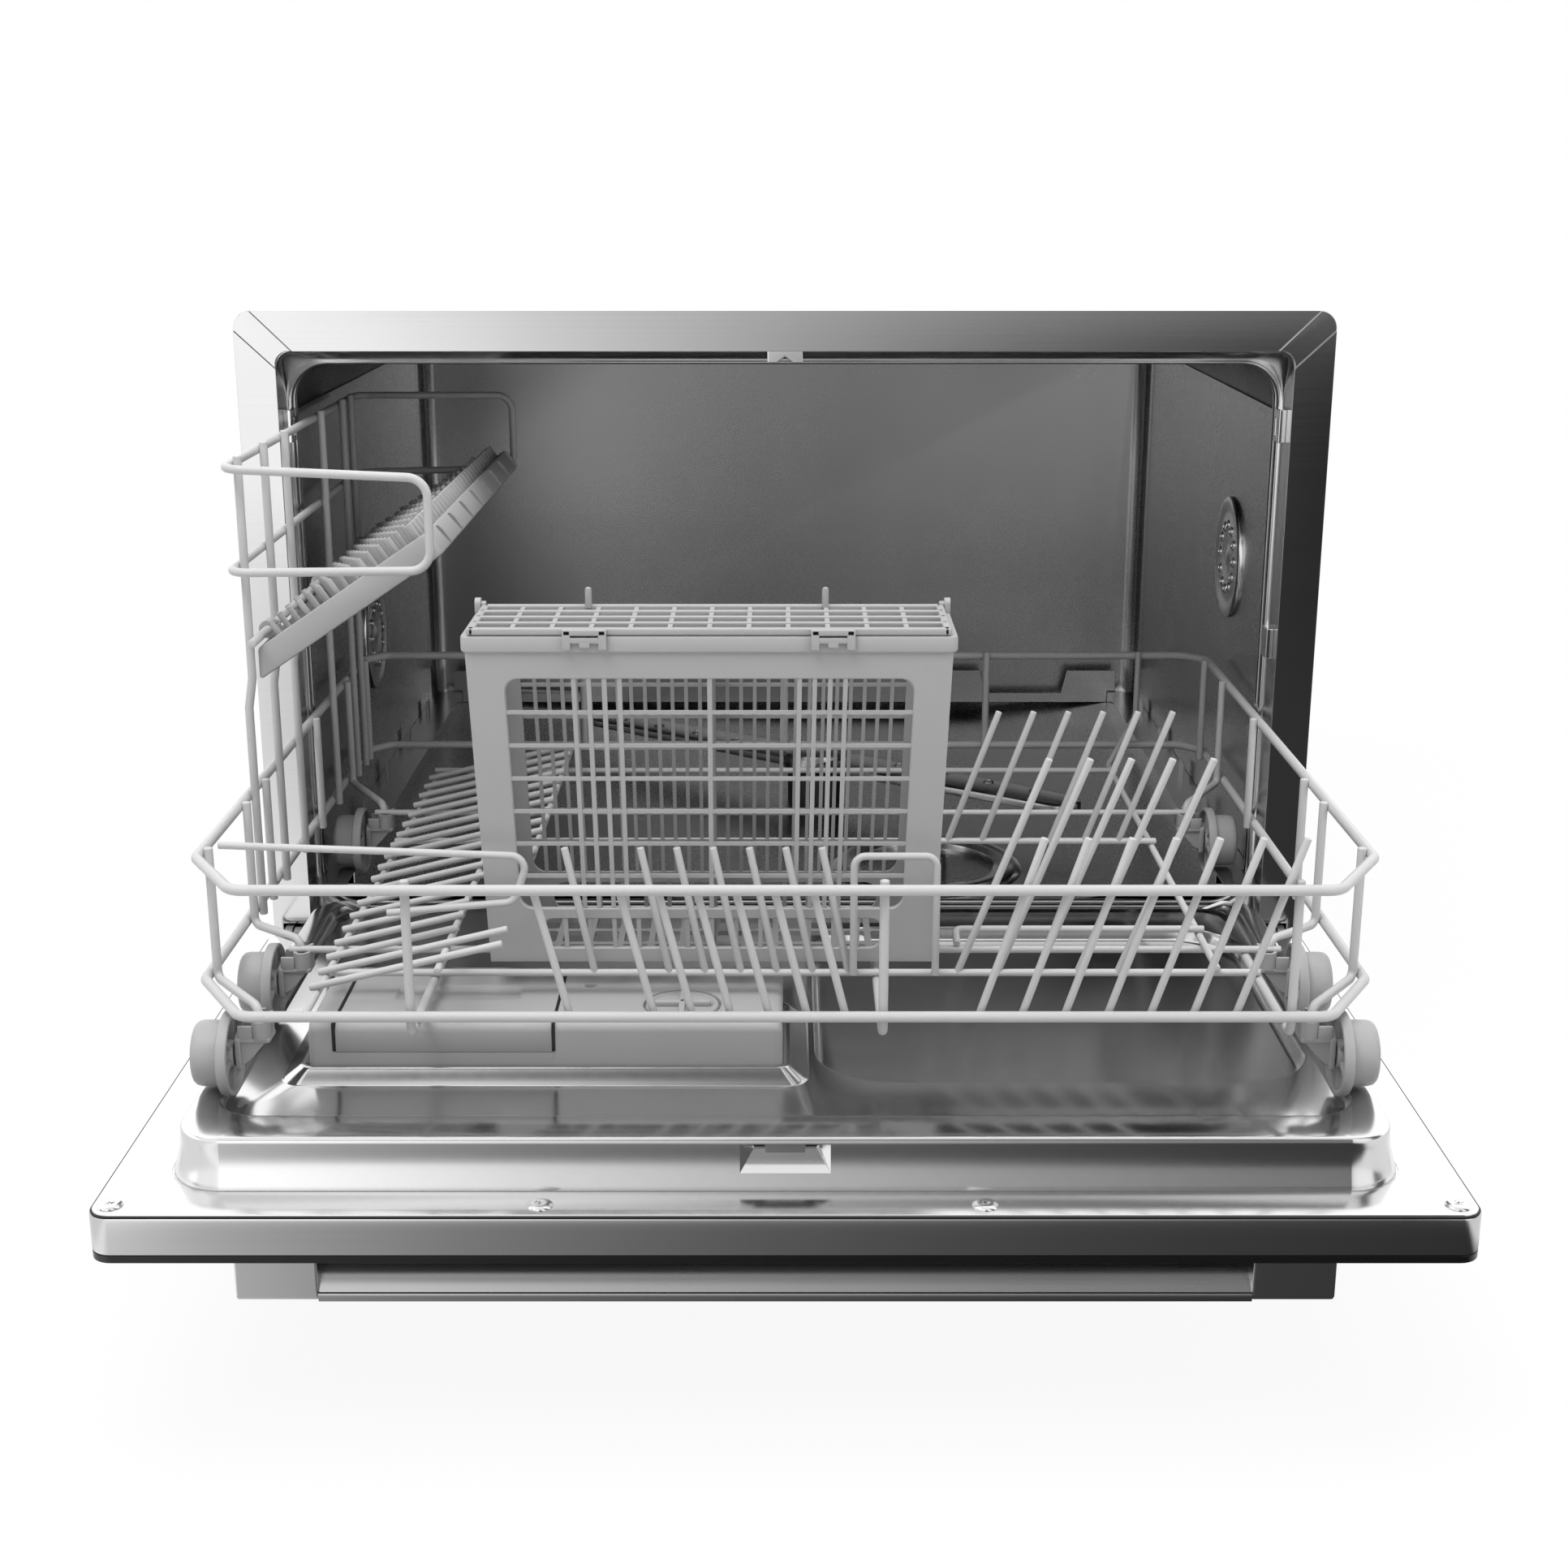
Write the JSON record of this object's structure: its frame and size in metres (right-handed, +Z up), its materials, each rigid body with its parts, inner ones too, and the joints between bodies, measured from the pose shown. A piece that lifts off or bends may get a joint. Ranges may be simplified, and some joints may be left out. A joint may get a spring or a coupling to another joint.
{
  "type": "countertop dishwasher",
  "caption": "Compact box-shaped dishwasher with a drop-down door, a wire dish rack on rollers, a cutlery basket and a cup shelf.",
  "frame": {"origin": "on the ground under the centre of everything, with the door folded down", "axes": "+X to the right seen from the door, +Y from the door back to the rear panel, +Z up"},
  "size_m": [0.55, 0.826, 0.438],
  "materials": {
    "stainless": "brushed sheet",
    "tub_steel": "satin sheet",
    "bright_steel": "polished",
    "black_panel": "gloss",
    "black_plastic": "matt",
    "grey_plastic": "matt",
    "dark_plastic": "matt",
    "coated_wire": "satin nylon coating",
    "zinc_steel": "galvanised",
    "seal_rubber": "matt",
    "cast_weight": "rough",
    "casing_paint": "pale satin paint"
  },
  "bodies": {
    "cabinet": {"outer_casing": "casing_paint", "rear_panel": "zinc_steel", "front_frame": "stainless", "frame_corners": "stainless", "front_plinth": "black_plastic", "base_tray": "dark_plastic", "feet": "seal_rubber", "tub": "tub_steel", "tub_flange": "black_plastic", "door_seal": "seal_rubber", "guide_rails": "tub_steel", "rear_ledge": "tub_steel", "side_vents": "tub_steel", "rail_hooks": "tub_steel", "latch_striker": "bright_steel", "sump": "dark_plastic", "flat_filter": "tub_steel", "spray_hub": "dark_plastic", "heater": "bright_steel", "circulation_pump": "dark_plastic", "drain_pump": "dark_plastic", "inlet_valve": "dark_plastic", "drain_spigot": "dark_plastic", "cable_gland": "black_plastic", "counterweight": "cast_weight", "hinge_brackets": "zinc_steel", "door_springs": "bright_steel"},
    "door": {"door_panel": "stainless", "door_front_panel": "black_panel", "door_liner": "stainless", "door_screws": "bright_steel", "door_handle": "stainless", "handle_caps": "stainless", "control_strip": "black_panel", "hinge_arms": "zinc_steel", "dispenser_body": "grey_plastic"},
    "rack": {"rack_rings": "coated_wire", "rack_side_posts": "coated_wire", "rack_long_wires": "coated_wire", "rack_cross_wires": "coated_wire", "rack_left_tines": "coated_wire", "rack_right_tines": "coated_wire", "cup_frame": "coated_wire", "roller_brackets": "grey_plastic"},
    "latch": {"latch_bolt": "zinc_steel"},
    "detergent_lid_body": {"detergent_lid": "grey_plastic"},
    "rinse_cap_body": {"rinse_cap": "grey_plastic"},
    "power_body": {"power_button": "grey_plastic"},
    "program_body": {"program_button": "grey_plastic"},
    "start_body": {"start_button": "grey_plastic"},
    "front_wheels": {"front_rollers": "grey_plastic"},
    "middle_wheels": {"middle_rollers": "grey_plastic"},
    "rear_wheels": {"rear_rollers": "grey_plastic"},
    "shelf": {"cup_shelf": "grey_plastic"},
    "basket": {"cutlery_basket": "grey_plastic"},
    "basket_cover": {"basket_lid": "grey_plastic"},
    "arm": {"spray_arm": "tub_steel"},
    "filter": {"filter_cup": "dark_plastic"}
  },
  "joints": [
    {"name": "door_hinge", "type": "hinge", "parent": "cabinet", "child": "door", "pos_m": [0, -0.086, 0.109], "axis": [-1, 0, 0], "range_deg": [0, 0.15]},
    {"name": "latch_press", "type": "slide", "parent": "door", "child": "latch", "axis": [0, 1, 0], "range_m": [0, 0.003], "stiffness_N_per_m": 500, "springref_m": -0.002},
    {"name": "detergent_lid_slide", "type": "slide", "parent": "door", "child": "detergent_lid_body", "axis": [0, -1, 0], "range_m": [0, 0.045]},
    {"name": "rinse_cap_turn", "type": "hinge", "parent": "door", "child": "rinse_cap_body", "pos_m": [-0.045, -0.296, 0.154], "axis": [0, 0, 1], "range_deg": [0, 90]},
    {"name": "power_press", "type": "slide", "parent": "door", "child": "power_body", "axis": [0, 0, 1], "range_m": [0, 0.0015], "stiffness_N_per_m": 400, "springref_m": -0.002},
    {"name": "program_press", "type": "slide", "parent": "door", "child": "program_body", "axis": [0, 0, 1], "range_m": [0, 0.0015], "stiffness_N_per_m": 400, "springref_m": -0.002},
    {"name": "start_press", "type": "slide", "parent": "door", "child": "start_body", "axis": [0, 0, 1], "range_m": [0, 0.0015], "stiffness_N_per_m": 400, "springref_m": -0.002},
    {"name": "rack_slide", "type": "slide", "parent": "cabinet", "child": "rack", "axis": [0, -1, 0], "range_m": [-0.295, 0]},
    {"name": "front_wheel_roll", "type": "hinge", "parent": "rack", "child": "front_wheels", "pos_m": [0, -0.336, 0.149], "axis": [1, 0, 0], "range_deg": [-1215, 10]},
    {"name": "middle_wheel_roll", "type": "hinge", "parent": "rack", "child": "middle_wheels", "pos_m": [0, -0.255, 0.149], "axis": [1, 0, 0], "range_deg": [-1215, 10]},
    {"name": "rear_wheel_roll", "type": "hinge", "parent": "rack", "child": "rear_wheels", "pos_m": [0, -0.041, 0.149], "axis": [1, 0, 0], "range_deg": [-1215, 10]},
    {"name": "shelf_fold", "type": "hinge", "parent": "rack", "child": "shelf", "pos_m": [-0.2396, -0.082, 0.301], "axis": [0, -1, 0], "range_deg": [0, 40]},
    {"name": "basket_lift", "type": "slide", "parent": "rack", "child": "basket", "axis": [0, 0, 1], "range_m": [0, 0.15]},
    {"name": "basket_lid_hinge", "type": "hinge", "parent": "basket", "child": "basket_cover", "pos_m": [0, -0.224, 0.31835], "axis": [-1, 0, 0], "range_deg": [0, 100]},
    {"name": "arm_spin", "type": "hinge", "parent": "cabinet", "child": "arm", "pos_m": [0.02, 0.153, 0.142], "axis": [0, 0, 1], "continuous": true},
    {"name": "filter_turn", "type": "hinge", "parent": "cabinet", "child": "filter", "pos_m": [0.082, 0.01, 0.117], "axis": [0, 0, 1], "range_deg": [0, 90]}
  ],
  "couplings": [
    {"joint": "front_wheel_roll", "follows": "rack_slide", "rad_per_m": 71.429},
    {"joint": "middle_wheel_roll", "follows": "rack_slide", "rad_per_m": 71.429},
    {"joint": "rear_wheel_roll", "follows": "rack_slide", "rad_per_m": 71.429}
  ]
}
